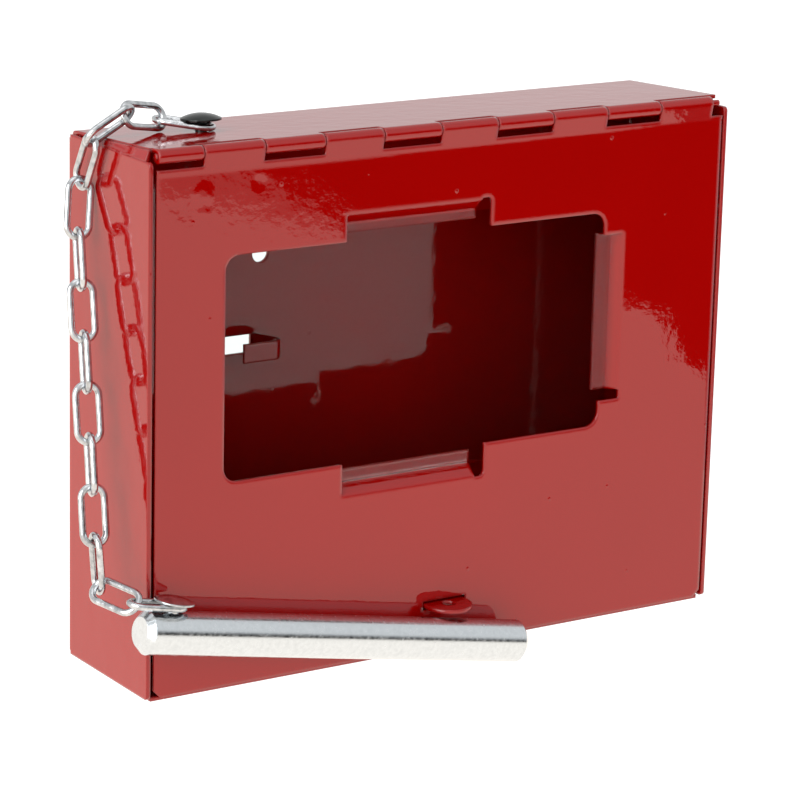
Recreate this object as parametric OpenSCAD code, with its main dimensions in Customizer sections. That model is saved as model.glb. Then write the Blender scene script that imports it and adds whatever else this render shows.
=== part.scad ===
// Wall-mounted emergency key box: folded steel case, top-hinged door with a break pane,
// and a steel striker rod on a fourteen-link chain. Origin: centre of the back face, on the wall.

/* [Body] */
// Outside width of the case
body_w = 152; // [140:1:200]
// Outside height of the case
body_h = 120; // [110:1:160]
// Depth from the wall to the door face
body_d = 37; // [33:1:60]
// Thickness of the steel sheet
sheet_t = 0.9; // [0.7:0.05:1.2]
// Outside radius of the folds
bend_r = 1.5; // [1.3:0.1:2.5]

/* [Door] */
// Gap between the door edges and the case
door_gap = 0.9; // [0.5:0.1:1.5]
// Radius of the hinge pin
pin_r = 0.65; // [0.6:0.05:0.9]
// Width of one hinge knuckle
knuckle_w = 14.95; // [12:0.05:16]
// Height of the strip between the crease and the pin
strip_h = 4; // [3.5:0.1:5]

/* [Window] */
// Left edge of the window from the left side of the case
win_x = 18.6; // [16:0.1:24]
// Bottom edge of the window from the bottom of the case
win_z = 47.3; // [45:0.1:52]
// Width of the window
win_w = 99.7; // [92:0.1:105]
// Height of the window
win_h = 50.3; // [44:0.1:54]
// Width of the top and bottom tab notches
notch_w = 38; // [30:0.5:44]
// Depth of the tab notches
notch_d = 6.6; // [6:0.1:8]
// Thickness of the break pane
pane_t = 1.4; // [1:0.1:1.6]

/* [Chain] */
// Wire thickness of the chain
wire_d = 1.5; // [1.2:0.05:1.6]

/* [Rod] */
// Radius of the striker rod
rod_r = 4.85; // [4:0.05:5]
// Length of the striker rod
rod_l = 100.8; // [80:0.1:110]
// Slope of the rod, lower at the right
rod_tilt = 10.5; // [9:0.1:12]

/* [Fixings] */
// Diameter of the wall screw holes
hole_d = 4.2; // [3.5:0.1:5.5]
// Sideways distance between the wall screw holes
hole_dx = 55; // [40:1:60]
// Upright distance between the wall screw holes
hole_dz = 55.8; // [40:0.2:60]
// Diameter of the hole for a seal wire
seal_d = 2.8; // [2:0.1:4]

/* [Hidden] */
$fn = 48;
fit = 0.05;
gap = 0.3;
pin_y = -body_d + 0.7;
pin_z = body_h / 2 + 0.4;
roll_in = pin_r + fit;
roll_r = roll_in + sheet_t;
bend_y = -bend_r;
bend_z = body_h / 2 - bend_r;
rise = atan2(pin_z - bend_z, bend_y - pin_y)
    + asin((roll_r - bend_r) / norm([pin_z - bend_z, pin_y - bend_y]));
top_len = norm([pin_z - bend_z, pin_y - bend_y]);
left = -body_w / 2;
bottom = -body_h / 2;
door_x = left + sheet_t + door_gap;
door_w = body_w - 2 * (sheet_t + door_gap) + 0.2;
door_in = -body_d + sheet_t;
crease_z = pin_z - strip_h;
k_first = left + 12.8;
joggle = pane_t + sheet_t + 0.2;
hole_x = left + win_x;
hole_z = bottom + win_z;
rivet_x = left + 23.1;
rivet_y = -body_d + 19;
rivet_z = bend_z + bend_r / cos(rise) + (bend_y - rivet_y) * tan(rise);
top_shift = rivet_z - body_h / 2 - 0.95083;
shank_r = 1.3;
head_r = 4.5;
lug_r = 5.4;
lug_x = left + 77;
lug_z = bottom + 10.4;
rod_y = -body_d - 6.1;
rod_p = [left - 5.1, rod_y, lug_z + 8.7 + top_shift];
tip_x = 7.25;
link_w = 6.6;
link_l = 12.62;
stretch = (body_h - 120) / 7;
// Each link: centre (from the left side, the door face and the top), heading, pitch and roll
chain = [
    [20.22, 21.53, 2.55, 141.52, 5.92, 2.6],
    [11.03, 22.84, 4.57, -162.05, 10.2, -64.57],
    [1.2, 19.99, 3.73, -174.75, -26.35, 50.48],
    [-2.76, 22.76, -4.22, 91.19, -61.41, -89.13],
    [-4.12, 23.61, -14.27, -129.07, -74.52, -32.92],
    [-5.12, 21.29, -24.92, -103.24, -77.41, -89.22],
    [-5.68, 18.96, -35.67, -103.24, -77.41, 0.83],
    [-6.22, 16.62, -46.42, -103.24, -77.41, -89.22],
    [-6.78, 14.28, -57.18, -103.24, -77.41, 0.83],
    [-7.32, 11.94, -67.92, -103.24, -77.41, -89.22],
    [-7.88, 9.61, -78.68, -103.24, -77.41, 0.83],
    [-8.3, 7.24, -88.78, -50.96, -85.39, -41.62],
    [-7.32, 0.63, -94.46, -72.15, -5.88, 47.45],
    [-0.82, -5.9, -95.53, -2.91, -10.7, -1.05]
];

// Places a Y-Z outline across the box from x0 to x1
module across(x0, x1) {
    translate([x0, 0, 0])
        rotate([90, 0, 90])
            linear_extrude(x1 - x0)
                children();
}

// Places an X-Z outline as a slab from y0 (back) forwards to y1
module facing(y0, y1) {
    translate([0, y0, 0])
        rotate([90, 0, 0])
            linear_extrude(y0 - y1)
                children();
}

module round_rect(x0, y0, x1, y1, r) {
    translate([x0 + r, y0])
        square([x1 - x0 - 2 * r, y1 - y0]);
    translate([x0, y0 + r])
        square([x1 - x0, y1 - y0 - 2 * r]);
    for (x = [x0 + r, x1 - r], y = [y0 + r, y1 - r])
        translate([x, y])
            circle(r);
}

// Ring sector from angle a0 to a1, under 180 degrees
module sector(ro, ri, a0, a1) {
    m = (a0 + a1) / 2;
    difference() {
        circle(ro);
        circle(ri);
        for (s = [0, 1])
            rotate(s == 0 ? a0 - 180 : a1)
                translate([-3 * ro, 0])
                    square([6 * ro, 3 * ro]);
    }
}

// Rolled hinge knuckle in the Y-Z plane, 270 degrees of ring from angle a0
module roll(a0) {
    translate([pin_y, pin_z])
        difference() {
            circle(roll_r);
            circle(roll_in);
            rotate(a0)
                translate([0, -3 * roll_r])
                    square([3 * roll_r, 3 * roll_r]);
        }
}

module top_outline() {
    translate([bend_y, bend_z]) {
        sector(bend_r, bend_r - sheet_t, 0, 90 - rise);
        rotate(180 - rise)
            translate([-0.01, -bend_r])
                square([top_len + 0.03, sheet_t]);
    }
    translate([-sheet_t, bend_z - 2])
        square([sheet_t, 2.01]);
}

module bottom_outline() {
    translate([bend_y, bottom + bend_r])
        sector(bend_r, bend_r - sheet_t, -90, 0);
    translate([door_in + 0.1, bottom])
        square([-door_in - 0.1 - bend_r + 0.01, sheet_t]);
    translate([-sheet_t, bottom + bend_r - 0.01])
        square([sheet_t, 2.01]);
}

// Back panel and the two rounded upright folds, seen from above
module back_outline() {
    translate([left + bend_r - 0.01, -sheet_t])
        square([body_w - 2 * bend_r + 0.02, sheet_t]);
    translate([left + bend_r, -bend_r])
        sector(bend_r, bend_r - sheet_t, 90, 180);
    translate([-left - bend_r, -bend_r])
        sector(bend_r, bend_r - sheet_t, 0, 90);
}

module side_outline() {
    difference() {
        translate([-body_d, bottom + 0.7])
            square([body_d - bend_r + 0.01, body_h - 1.4]);
        for (s = [-1, 1])
            translate([-body_d, s * (body_h / 2 - 0.7)])
                difference() {
                    translate([-1, -1])
                        square(2);
                    translate([1, -s])
                        circle(1);
                    translate([1, -2])
                        square(4);
                    translate([-2, s > 0 ? -4 : 1])
                        square([4, 3]);
                }
    }
}

module hook_outline() {
    x = left + 46.8;
    translate([x - 0.5, -sheet_t])
        square([1.5, sheet_t]);
    translate([x, -sheet_t + 0.01])
        rotate(-62)
            square([5.2, sheet_t]);
    translate([x + 0.67, -6.42])
        sector(2 + sheet_t, 2, -90, 28);
    translate([x - 6.7, -8.42 - sheet_t])
        square([7.38, sheet_t]);
    translate([x - 6.7, -8.42 - sheet_t / 2])
        circle(sheet_t / 2);
}

module case_shell() color("#A3201E") {
    difference() {
        union() {
            translate([0, 0, bottom + bend_r])
                linear_extrude(body_h - 2 * bend_r)
                    back_outline();
            across(left, left + sheet_t)
                side_outline();
            across(-left - sheet_t, -left)
                side_outline();
            across(left + 1.4, -left - 1.6)
                bottom_outline();
            difference() {
                across(left + 1.3, -left - 1.7)
                    top_outline();
                for (i = [0:2:9])
                    translate([k_first + i * knuckle_w - gap / 2, pin_y - 4, pin_z - 4])
                        cube([knuckle_w + gap, roll_r + gap + 4, 8]);
                translate([left - 1, pin_y - 4, pin_z - 4])
                    cube([3, roll_r + gap + 4, 8]);
                translate([k_first + 8.9 * knuckle_w, pin_y - 4, pin_z - 4])
                    cube([20, roll_r + gap + 4, 8]);
                translate([left - 1, pin_y, pin_z])
                    rotate([0, 90, 0])
                        cylinder(h = body_w + 2, r = roll_in);
            }
            across(left + 2, k_first - gap / 2)
                roll(90 - rise);
            for (i = [1:2:7])
                across(k_first + i * knuckle_w + gap / 2, k_first + (i + 1) * knuckle_w - gap / 2)
                    roll(90 - rise);
            translate([0, 0, bottom + 65.1])
                linear_extrude(4.3)
                    hook_outline();
        }
        for (s = [-1, 1])
            translate([s * hole_dx / 2, 1, -s * hole_dz / 2])
                rotate([90, 0, 0])
                    cylinder(h = 3, d = hole_d);
        translate([left + 39.3, -sheet_t - 1, bottom + 65.1])
            cube([7, sheet_t + 2, 4.3]);
        translate([rivet_x, rivet_y, rivet_z])
            rotate([-rise, 0, 0])
                cylinder(h = 6, r = shank_r + fit, center = true);
    }
}

// Window with the three tab notches, seen from the front
module window_outline() {
    x1 = hole_x + win_w;
    z1 = hole_z + win_h;
    m = hole_x + win_w / 2;
    difference() {
        union() {
            round_rect(hole_x, hole_z, x1, z1, 3.4);
            round_rect(m - notch_w / 2 - 0.6, hole_z - 7.7, m + notch_w / 2 - 0.6, z1 + notch_d, 1.2);
            translate([x1 - 8, hole_z + 5.8])
                square([8 + 5.7, win_h - 11.1]);
        }
    }
}

// Tab outline stepped back 45 degrees behind the pane, in the Y-Z plane, opening edge at z = 0
module tab_outline(reach) {
    s = sheet_t * tan(22.5);
    polygon([[-body_d, 1.2], [-body_d, -s], [-body_d + joggle, -s - joggle],
        [-body_d + joggle, -reach], [-body_d + joggle + sheet_t, -reach],
        [-body_d + joggle + sheet_t, -joggle], [door_in, 0], [door_in, 1.2]]);
}

module door_panel() color("#A3201E") {
    x1 = hole_x + win_w;
    z1 = hole_z + win_h;
    m = hole_x + win_w / 2;
    difference() {
        union() {
            facing(door_in, -body_d)
                difference() {
                    translate([door_x, bottom + 0.8])
                        square([door_w, crease_z - bottom - 0.79]);
                    window_outline();
                    for (x = [door_x, door_x + door_w])
                        translate([x, bottom + 0.8])
                            rotate(45)
                                square(2.4, center = true);
                }
            across(door_x, door_x + door_w)
                polygon([[-body_d, crease_z - 0.2], [pin_y - roll_r, pin_z],
                    [pin_y - roll_in, pin_z], [door_in, crease_z - 0.2]]);
            for (i = [0:2:8])
                across(k_first + i * knuckle_w + gap / 2, k_first + (i + 1) * knuckle_w - gap / 2)
                    roll(270);
            across(m - notch_w / 2 - 0.6, m + notch_w / 2 - 3.2)
                translate([0, z1 + notch_d])
                    tab_outline(5.1);
            across(m - notch_w / 2 - 0.6, m + notch_w / 2 - 3.2)
                translate([0, hole_z - 7.7])
                    mirror([0, 1])
                        tab_outline(6);
            translate([0, 0, hole_z + 8])
                linear_extrude(win_h - 13.3)
                    translate([x1 + 5.7, 0])
                        mirror([1, -1])
                            tab_outline(6.2);
        }
        translate([door_x - 1, -body_d - 3, pin_z - 2.9])
            cube([k_first - door_x + 1 + gap / 2, 6, 8]);
        for (i = [1:2:7])
            translate([k_first + i * knuckle_w - gap / 2, -body_d - 3, pin_z - 2.9])
                cube([knuckle_w + gap, 6, 8]);
        translate([k_first + 9 * knuckle_w - gap / 2, -body_d - 3, pin_z - 2.9])
            cube([12, 6, 8]);
        translate([lug_x - 5.75, -body_d - 1, lug_z - 0.6])
            cube([11.5, sheet_t + 2, sheet_t + 1.2]);
    }
}

module hinge_pin() color("#8E8A88") {
    translate([left + 1.7, pin_y, pin_z])
        rotate([0, 90, 0])
            cylinder(h = k_first + 9 * knuckle_w - left + 0.6, r = pin_r);
}

module glass_pane() color("#DCE8E6") {
    z0 = hole_z - 7.7 + joggle + 0.8;
    z1 = hole_z + win_h + notch_d - joggle - 0.8;
    x1 = hole_x + win_w + 5.7 - joggle - 0.8;
    translate([hole_x - 5.6, door_in + 0.1 + pane_t, 0])
        rotate([90, 0, 0])
            linear_extrude(pane_t)
                translate([0, z0])
                    square([x1 - hole_x + 5.6, z1 - z0]);
}

module seal_lug() color("#A3201E") {
    z = lug_z;
    y = -body_d - 1.8;
    difference() {
        union() {
            translate([lug_x - lug_r, y, z])
                cube([2 * lug_r, 8.8, sheet_t]);
            translate([lug_x, y, z])
                cylinder(h = sheet_t, r = lug_r);
            across(lug_x - lug_r, lug_x + lug_r) {
                translate([y + 8.79, z - bend_r + sheet_t])
                    sector(bend_r, bend_r - sheet_t, 0, 90);
                translate([y + 8.79 + bend_r - sheet_t, bottom + sheet_t + bend_r - 0.01])
                    square([sheet_t, z - bottom - 2 * bend_r + 0.02]);
                translate([y + 8.79 + 2 * bend_r - sheet_t, bottom + sheet_t + bend_r])
                    sector(bend_r, bend_r - sheet_t, 180, 270);
                translate([y + 8.78 + 2 * bend_r - sheet_t, bottom + sheet_t])
                    square([10, sheet_t]);
            }
        }
        translate([lug_x, y, z - 1])
            cylinder(h = 4, d = seal_d);
    }
}

// Headed rivet along Z from depth -d to a domed head whose underside is at h
module rivet(d, h, dome) {
    translate([0, 0, -d])
        cylinder(h = d + h + 0.2, r = shank_r);
    translate([0, 0, h])
        cylinder(h = 0.4, r = head_r);
    b = (head_r * head_r + dome * dome) / (2 * dome);
    intersection() {
        translate([0, 0, h + 0.39 + dome - b])
            sphere(b);
        translate([0, 0, h + 0.39])
            cylinder(h = dome + 1, r = head_r + 1);
    }
}

module anchor_rivet() color("#6F6C70") {
    translate([rivet_x, rivet_y, rivet_z])
        rotate([-rise, 0, 0]) {
            rivet(sheet_t + 0.3, wire_d + 1.02, 1.1);
            translate([0, 0, -sheet_t - 0.83])
                cylinder(h = 0.8, r = 2.6);
        }
}

// Link number n: two half rings and two straight sides, laid at its own place in the run
module link(n) {
    p = chain[n];
    r = (link_w - 1.5) / 2;
    upright = n > 3 && n < 11;
    s = (link_l + (upright ? stretch / 0.976 : 0)) / 2 - r;
    drop = stretch * (upright ? n - 3.5 : n < 4 ? 0 : 7);
    translate([left + p[0], -body_d + p[1], body_h / 2 + top_shift + p[2] - drop])
        rotate([0, -p[4], p[3]])
            rotate([p[5], 0, 0])
                for (m = [0, 180])
                    rotate(m) {
                        translate([s, 0, 0])
                            rotate(-90)
                                rotate_extrude(angle = 180)
                                    translate([r, 0])
                                        circle(d = wire_d);
                        translate([-s, r, 0])
                            rotate([0, 90, 0])
                                cylinder(h = 2 * s, d = wire_d);
                    }
}

module chain_link(n) color("#8E8F92") {
    link(n);
}

module chain_link_01() chain_link(0);
module chain_link_02() chain_link(1);
module chain_link_03() chain_link(2);
module chain_link_04() chain_link(3);
module chain_link_05() chain_link(4);
module chain_link_06() chain_link(5);
module chain_link_07() chain_link(6);
module chain_link_08() chain_link(7);
module chain_link_09() chain_link(8);
module chain_link_10() chain_link(9);
module chain_link_11() chain_link(10);
module chain_link_12() chain_link(11);
module chain_link_13() chain_link(12);
module chain_link_14() chain_link(13);

module hammer_rod() color("#97989B") {
    c = 1.4;
    translate(rod_p)
        rotate([0, 90 + rod_tilt, 0])
            difference() {
                union() {
                    cylinder(h = c, r1 = rod_r - c, r2 = rod_r);
                    translate([0, 0, c])
                        cylinder(h = rod_l - 2 * c, r = rod_r);
                    translate([0, 0, rod_l - c])
                        cylinder(h = c, r1 = rod_r, r2 = rod_r - c);
                }
                translate([0, 0, tip_x])
                    rotate([0, 90, 0])
                        cylinder(h = 3 * rod_r, r = shank_r + fit, center = true);
            }
}

module hammer_rivet() color("#8E8F92") {
    translate(rod_p)
        rotate([0, rod_tilt, 0])
            translate([tip_x, 0, rod_r])
                rivet(2 * rod_r - 0.6, wire_d + 0.6, 0.9);
}

case_shell();
door_panel();
hinge_pin();
glass_pane();
seal_lug();
anchor_rivet();
chain_link_01();
chain_link_02();
chain_link_03();
chain_link_04();
chain_link_05();
chain_link_06();
chain_link_07();
chain_link_08();
chain_link_09();
chain_link_10();
chain_link_11();
chain_link_12();
chain_link_13();
chain_link_14();
hammer_rod();
hammer_rivet();
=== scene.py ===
"""Break glass key box: a wall-hung case of folded steel sheet in gloss red enamel, its door
hinged along the top, a thin pane behind a window in the door, and a zinc-plated steel rod
on a chain for breaking the pane. Units are metres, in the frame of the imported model."""

import math

import bpy
from mathutils import Matrix, Vector


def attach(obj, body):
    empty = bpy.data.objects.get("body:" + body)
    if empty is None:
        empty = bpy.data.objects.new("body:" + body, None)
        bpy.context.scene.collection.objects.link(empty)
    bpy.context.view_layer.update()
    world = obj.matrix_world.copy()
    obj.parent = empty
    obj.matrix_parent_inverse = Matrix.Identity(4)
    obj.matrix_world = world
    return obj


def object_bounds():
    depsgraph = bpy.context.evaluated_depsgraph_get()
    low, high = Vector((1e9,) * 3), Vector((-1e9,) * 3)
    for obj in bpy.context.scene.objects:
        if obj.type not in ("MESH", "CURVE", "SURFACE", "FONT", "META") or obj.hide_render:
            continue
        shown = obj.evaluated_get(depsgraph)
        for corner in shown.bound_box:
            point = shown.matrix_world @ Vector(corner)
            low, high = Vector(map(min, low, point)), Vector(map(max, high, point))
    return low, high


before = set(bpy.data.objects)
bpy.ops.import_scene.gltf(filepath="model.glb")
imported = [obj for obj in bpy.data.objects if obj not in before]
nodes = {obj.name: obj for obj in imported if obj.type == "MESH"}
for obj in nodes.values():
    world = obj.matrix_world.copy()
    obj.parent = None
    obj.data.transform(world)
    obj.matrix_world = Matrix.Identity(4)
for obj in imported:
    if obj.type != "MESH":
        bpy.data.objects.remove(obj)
cad_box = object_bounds()

# --- Camera -----------------------------------------------------------------------------
# The photograph was taken with a long lens from the left, a little above the box. Place,
# turn and focal length are those that put the case's corners where the photograph has them.
CAMERA_PLACE = (-0.42154, -0.66254, 0.20228)
YAW, PITCH, ROLL = math.radians(33.19), math.radians(-15.12), math.radians(1.44)
camera_data = bpy.data.cameras.new("camera")
camera_data.sensor_width = 36
camera_data.lens = 157.02
camera_data.clip_start = 0.05
camera = bpy.data.objects.new("camera", camera_data)
bpy.context.scene.collection.objects.link(camera)
look = Vector((math.sin(YAW) * math.cos(PITCH), math.cos(YAW) * math.cos(PITCH), math.sin(PITCH)))
level = Vector((math.cos(YAW), -math.sin(YAW), 0))
upward = level.cross(look)
side = level * math.cos(ROLL) + upward * math.sin(ROLL)
top = upward * math.cos(ROLL) - level * math.sin(ROLL)
turn = Matrix((side, top, -look)).transposed().to_4x4()
camera.matrix_world = Matrix.Translation(CAMERA_PLACE) @ turn
bpy.context.scene.camera = camera


# --- Enamelled sheet steel ----------------------------------------------------------------
# Case, door and seal lug: folded mild steel sheet with a sprayed and stoved gloss red
# enamel. It has softened edges, a faint orange-peel ripple and a few nibs. The door carries
# three small marks at its upper left, two raised and one sunk.
ORDER_NAMES = {"i0": 0, "i1": 1}


def linear(code):
    """sRGB hex to a linear colour with alpha."""
    parts = [int(code[i : i + 2], 16) / 255 for i in (1, 3, 5)]
    return [c / 12.92 if c <= 0.04045 else ((c + 0.055) / 1.055) ** 2.4 for c in parts] + [1]


def add_node(tree, kind, settings=None, **links):
    """A new node. settings are properties or input values; links are input=(node, output).
    Where input names repeat, i0 and i1 are the first and the second."""
    node = tree.nodes.new(kind)
    for name, value in (settings or {}).items():
        if name in ORDER_NAMES or name in node.inputs:
            node.inputs[ORDER_NAMES.get(name, name)].default_value = value
        else:
            setattr(node, name, value)
    for name, (source, output) in links.items():
        key = ORDER_NAMES.get(name, name.replace("_", " "))
        tree.links.new(source.outputs[output], node.inputs[key])
    return node


def new_material(name, settings):
    """A node material of one Principled shader with these input values: (material, shader)."""
    material = bpy.data.materials.new(name)
    material.use_nodes = True
    tree = material.node_tree
    tree.nodes.clear()
    shader = add_node(tree, "ShaderNodeBsdfPrincipled", settings)
    add_node(tree, "ShaderNodeOutputMaterial", Surface=(shader, "BSDF"))
    return material, shader


def two_tones(tree, shader, noise, low, high):
    """Base colour that wanders between two hex tones with a noise."""
    tint = add_node(tree, "ShaderNodeValToRGB", Fac=(noise, "Fac"))
    for stop, place, tone in zip(tint.color_ramp.elements, (0.3, 0.7), (low, high)):
        stop.position = place
        stop.color = linear(tone)
    tree.links.new(tint.outputs["Color"], shader.inputs["Base Color"])


def add_bump(tree, height, output, strength, distance, below):
    """A bump, distance metres high, on top of the normal of the node below."""
    return add_node(
        tree, "ShaderNodeBump", {"Strength": strength, "Distance": distance},
        Height=(height, output), Normal=(below, "Normal"),
    )


def gloss_enamel(name, round_off, coat_rough, orange_peel, marks=()):
    """Gloss red enamel. round_off is the softened edge's radius; orange_peel the strength of
    the paint's ripple; marks are round, each (x, y, z, radius, height), sunk below zero."""
    peel_scale, wave_scale, nib_scale, cloud_scale = 230, 26, 110, 9
    nib_threshold = 0.68
    material, shader = new_material(name, {
        "Roughness": 0.32,
        "Specular IOR Level": 0.0,
        "Coat Weight": 1.0,
        "Coat Roughness": coat_rough,
        "Coat IOR": 1.6,
    })
    tree = material.node_tree
    place = add_node(tree, "ShaderNodeTexCoord")

    def noise(scale, detail):
        settings = {"Scale": scale, "Detail": detail}
        return add_node(tree, "ShaderNodeTexNoise", settings, Vector=(place, "Object"))

    surface = add_node(tree, "ShaderNodeBevel", {"Radius": round_off, "samples": 12})
    surface = add_bump(tree, noise(peel_scale, 4), "Fac", orange_peel, 0.0002, surface)
    surface = add_bump(tree, noise(wave_scale, 1), "Fac", 0.12, 0.0009, surface)

    cells = add_node(
        tree, "ShaderNodeTexVoronoi", {"Scale": nib_scale}, Vector=(place, "Object")
    )
    nib = add_node(
        tree, "ShaderNodeMapRange",
        {
            "interpolation_type": "SMOOTHSTEP",
            "From Min": 0.02, "From Max": 0.07, "To Min": 1.0, "To Max": 0.0,
        },
        Value=(cells, "Distance"),
    )
    some = add_node(
        tree, "ShaderNodeMath", {"operation": "GREATER_THAN", "i1": nib_threshold},
        i0=(cells, "Color"),
    )
    nibs = add_node(
        tree, "ShaderNodeMath", {"operation": "MULTIPLY"},
        i0=(nib, "Result"), i1=(some, "Value"),
    )
    surface = add_bump(tree, nibs, "Value", 0.5, 0.0002, surface)

    for x, y, z, radius, height in marks:
        away = add_node(
            tree, "ShaderNodeVectorMath", {"operation": "DISTANCE", "i1": (x, y, z)},
            i0=(place, "Object"),
        )
        dome = add_node(
            tree, "ShaderNodeMapRange",
            {
                "interpolation_type": "SMOOTHERSTEP",
                "From Max": radius, "To Min": 1.0, "To Max": 0.0,
            },
            Value=(away, "Value"),
        )
        surface = add_bump(tree, dome, "Result", 1.0, height, surface)

    two_tones(tree, shader, noise(cloud_scale, 3), "#8A0201", "#940302")
    tree.links.new(surface.outputs["Normal"], shader.inputs["Normal"])
    tree.links.new(surface.outputs["Normal"], shader.inputs["Coat Normal"])
    return material


def finish_node(name, material):
    """Gives a CAD node one material on all its slots."""
    for entry in nodes[name].material_slots:
        entry.material = material


enamel = gloss_enamel("stoved_enamel_case", 0.0008, 0.05, 0.3)
door_enamel = gloss_enamel(
    "stoved_enamel_door", 0.0013, 0.03, 0.2,
    marks=(
        (-0.0632, -0.037, 0.0514, 0.0038, 0.00005),
        (-0.0632, -0.037, 0.0474, 0.003, 0.00004),
        (-0.0493, -0.037, 0.0527, 0.0026, -0.00004),
    ),
)
finish_node("case_shell", enamel)
finish_node("seal_lug", enamel)
finish_node("hinge_pin", enamel)
finish_node("door_panel", door_enamel)


# --- Corner fillet ------------------------------------------------------------------------
# The seam between the left side's upper edge and the top panel, which rises to the hinge, is
# filled and painted over. It rides on the case. Lengths in this section are millimetres.
MM = 0.001
PANEL_SLOPE = math.tan(math.radians(3.290))
SEAM_ENDS = (-13.0, -35.0)
CROWN_Y, CROWN_Z = -1.5, 59.8
OUTSIDE_X, INSIDE_X, SEAM_FOOT_Z = -75.9, -75.0, 58.8


def solid(name, rings, body, material):
    """A closed tube of equal rings of points, riding on a body."""
    count = len(rings[0])
    points = [tuple(c * MM for c in p) for ring in rings for p in ring]
    faces = [tuple(reversed(range(count))), tuple(range(len(points) - count, len(points)))]
    for r in range(len(rings) - 1):
        for k in range(count):
            a, b = r * count + k, r * count + (k + 1) % count
            faces.append((a, b, b + count, a + count))
    mesh = bpy.data.meshes.new(name)
    mesh.from_pydata(points, [], faces)
    piece = bpy.data.objects.new(name, mesh)
    bpy.context.scene.collection.objects.link(piece)
    mesh.materials.append(material)
    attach(piece, body)
    return piece


seam_rings = []
for y in SEAM_ENDS:
    crown = CROWN_Z + (CROWN_Y - y) * PANEL_SLOPE
    seam_rings.append([
        (OUTSIDE_X, y, SEAM_FOOT_Z),
        (INSIDE_X, y, SEAM_FOOT_Z),
        (-74.65, y, crown - 0.3),
        (-74.75, y, crown),
        (-75.2, y, crown - 0.2),
        (OUTSIDE_X, y, 59.6),
    ])
solid("corner_seam", seam_rings, "case", enamel)


# --- Zinc-plated steel --------------------------------------------------------------------
# Rod, chain and rivets: cold-drawn steel, bright zinc plated and passivated. The rivet of the
# top panel is darker: its tone is a painted reflection of the dark room its dome mirrors. The
# plating is a little mottled, and faint drawing lines show through it along X, about 10 degrees
# off the sloping rod.
LINE_TURN = math.radians(10.5)


def zinc_plate(name, tones, rough, grain, stretch, speck):
    """Bright zinc. grain is the line spacing in metres, stretch how many times longer the
    lines are along X, and speck the number of plating spangles to the metre."""
    material, shader = new_material(name, {"Metallic": 1.0})
    tree = material.node_tree
    place = add_node(tree, "ShaderNodeTexCoord")
    turned = add_node(
        tree, "ShaderNodeMapping",
        {"Rotation": (0, -LINE_TURN, 0), "Scale": (1 / stretch, 1, 1)},
        Vector=(place, "Object"),
    )
    lines = add_node(
        tree, "ShaderNodeTexNoise", {"Scale": 1 / grain, "Detail": 3}, Vector=(turned, "Vector")
    )
    mottle = add_node(
        tree, "ShaderNodeTexNoise", {"Scale": speck, "Detail": 3}, Vector=(place, "Object")
    )
    edge = add_node(tree, "ShaderNodeBevel", {"Radius": 0.0003, "samples": 6})
    surface = add_bump(tree, lines, "Fac", 0.06, 0.0001, edge)
    rough_range = add_node(
        tree, "ShaderNodeMapRange",
        {"From Min": 0.3, "From Max": 0.7, "To Min": rough * 0.7, "To Max": rough * 1.5},
        Value=(mottle, "Fac"),
    )
    two_tones(tree, shader, mottle, *tones)
    tree.links.new(rough_range.outputs["Result"], shader.inputs["Roughness"])
    tree.links.new(surface.outputs["Normal"], shader.inputs["Normal"])
    return material


rod_zinc = zinc_plate("zinc_bar", ("#D3D9DD", "#DDE3E7"), 0.19, 0.0005, 30, 900)
chain_zinc = zinc_plate("zinc_wire", ("#ABAEB1", "#D9DBDD"), 0.18, 0.0008, 2, 700)
# The rivet's dark tones are a painted reflection of the dark surroundings above it.
rivet_zinc_painted_dark = zinc_plate("zinc_rivet_painted_dark_reflection", ("#2C2F2E", "#434645"), 0.16, 0.0008, 1, 260)
finish_node("hammer_rod", rod_zinc)
finish_node("hammer_rivet", chain_zinc)
finish_node("anchor_rivet", rivet_zinc_painted_dark)
for number in range(1, 15):
    finish_node(f"chain_link_{number:02d}", chain_zinc)


# --- Break pane ---------------------------------------------------------------------------
# A thin sheet of clear glass, cut to size and slid in behind the three tabs of the door. Its
# index is far below that of real glass, so that it hardly mirrors, as in the photograph. Its grey
# tint is painted shade that darkens the inside of the box seen through the pane.
glass, _ = new_material("float_glass_tinted_as_shade", {
    # Grey tint: painted shade that darkens the box's inside seen through the pane.
    "Base Color": linear("#E0E5E3"),
    "Roughness": 0.0,
    "IOR": 1.04,
    "Transmission Weight": 1.0,
})
finish_node("glass_pane", glass)


# --- Studio -------------------------------------------------------------------------------
# White paper under the box and a white surround, soft light from above, from the left and low
# from the right, and a dark side of the room ahead of the door, as the enamel's reflections
# show. The floor lies swing_room lower than the box, since the rod's end can drop 14 mm.
sheet_z = cad_box[0][2] - 0.0002
swing_room = 0.016
bpy.ops.mesh.primitive_plane_add(size=8, location=(0, 0, sheet_z - swing_room))
floor = bpy.context.object
floor.name = "floor"
paper, _ = new_material("white_paper", {
    "Base Color": linear("#A4A4A4"),
    "Emission Color": linear("#FFFFFF"),
    "Emission Strength": 0.92,
    "Roughness": 0.9,
    "Specular IOR Level": 0.0,
})
floor.data.materials.append(paper)
floor.visible_glossy = False

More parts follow.
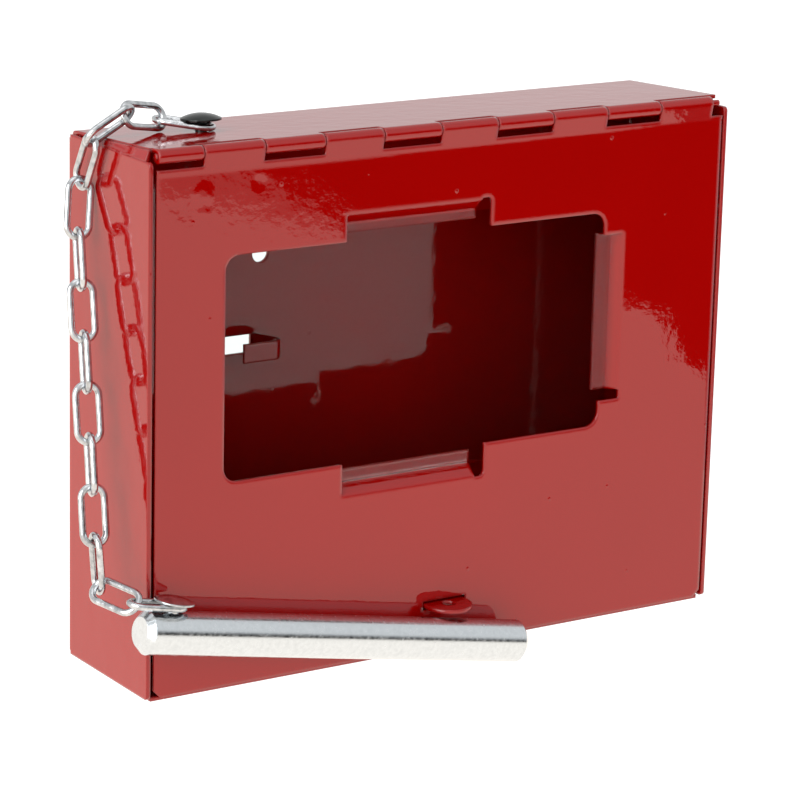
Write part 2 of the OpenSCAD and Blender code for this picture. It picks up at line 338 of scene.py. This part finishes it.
DARK_SIDE = Vector((0.50, -0.84, -0.2)).normalized()
world = bpy.data.worlds.new("room")
world.use_nodes = True
room = world.node_tree
room.nodes.clear()
ray = add_node(room, "ShaderNodeLightPath")
way = add_node(room, "ShaderNodeTexCoord")
ahead = add_node(
    room, "ShaderNodeVectorMath", {"operation": "DOT_PRODUCT", "i1": DARK_SIDE},
    i0=(way, "Generated"),
)
dark = add_node(
    room, "ShaderNodeMapRange",
    {
        "interpolation_type": "SMOOTHSTEP",
        "From Min": 0.84, "From Max": 0.965, "To Min": 0.8, "To Max": 0.0,
    },
    Value=(ahead, "Value"),
)
seen = add_node(
    room, "ShaderNodeMix", {"data_type": "FLOAT", "B": 1.0},
    Factor=(ray, "Is Camera Ray"), A=(dark, "Result"),
)
sky = add_node(room, "ShaderNodeBackground", {"Color": (1, 1, 1, 1)}, Strength=(seen, "Result"))
add_node(room, "ShaderNodeOutputWorld", Surface=(sky, "Background"))
bpy.context.scene.world = world


def glow_card(name, corners, colour, strength):
    """A pale card at the height of the table, seen only in reflections."""
    mesh = bpy.data.meshes.new(name)
    mesh.from_pydata([(x, y, sheet_z) for x, y in corners], [], [tuple(range(len(corners)))])
    card = bpy.data.objects.new(name, mesh)
    bpy.context.scene.collection.objects.link(card)
    material = bpy.data.materials.new(name)
    material.use_nodes = True
    tree = material.node_tree
    tree.nodes.clear()
    light = add_node(tree, "ShaderNodeEmission", {"Color": linear(colour), "Strength": strength})
    add_node(tree, "ShaderNodeOutputMaterial", Surface=(light, "Emission"))
    mesh.materials.append(material)
    card.visible_camera = False
    card.visible_diffuse = False
    card.visible_shadow = False
    card.visible_transmission = False


TABLE_WHITE = "#FFF6EC"
glow_card(
    "table_glow",
    [
        (-2.5, -0.6), (0.198, -0.6), (0.2, -0.52), (0.225, -0.448), (0.246, -0.4), (0.249, -0.3),
        (0.252, -0.284), (0.225, -0.243), (0.216, -0.22), (0.2, -0.1), (0.2, 2.0), (-2.5, 2.0),
    ],
    TABLE_WHITE, 1.3,
)
glow_card(
    "table_edge",
    [(0.199, -0.6), (0.25, -0.6), (0.236, -0.45), (0.226, -0.447), (0.201, -0.52)],
    TABLE_WHITE, 0.55,
)


def soft_light(name, place, size, power):
    """A square area light aimed at the middle of the box's back."""
    data = bpy.data.lights.new(name, "AREA")
    data.size = size
    data.energy = power
    lamp = bpy.data.objects.new(name, data)
    bpy.context.scene.collection.objects.link(lamp)
    lamp.location = place
    lamp.rotation_euler = (-Vector(place)).to_track_quat("-Z", "Y").to_euler()
    return lamp


soft_light("overhead", (-0.2, -0.1, 1.1), 0.9, 2.0)
soft_light("left_side", (-1.5, -0.35, 0.4), 1.5, 26)
right_lamp = soft_light("right_front", (0.75, -1.0, 0.06), 0.6, 4)
right_lamp.visible_glossy = False
bpy.context.scene.view_settings.view_transform = "Standard"
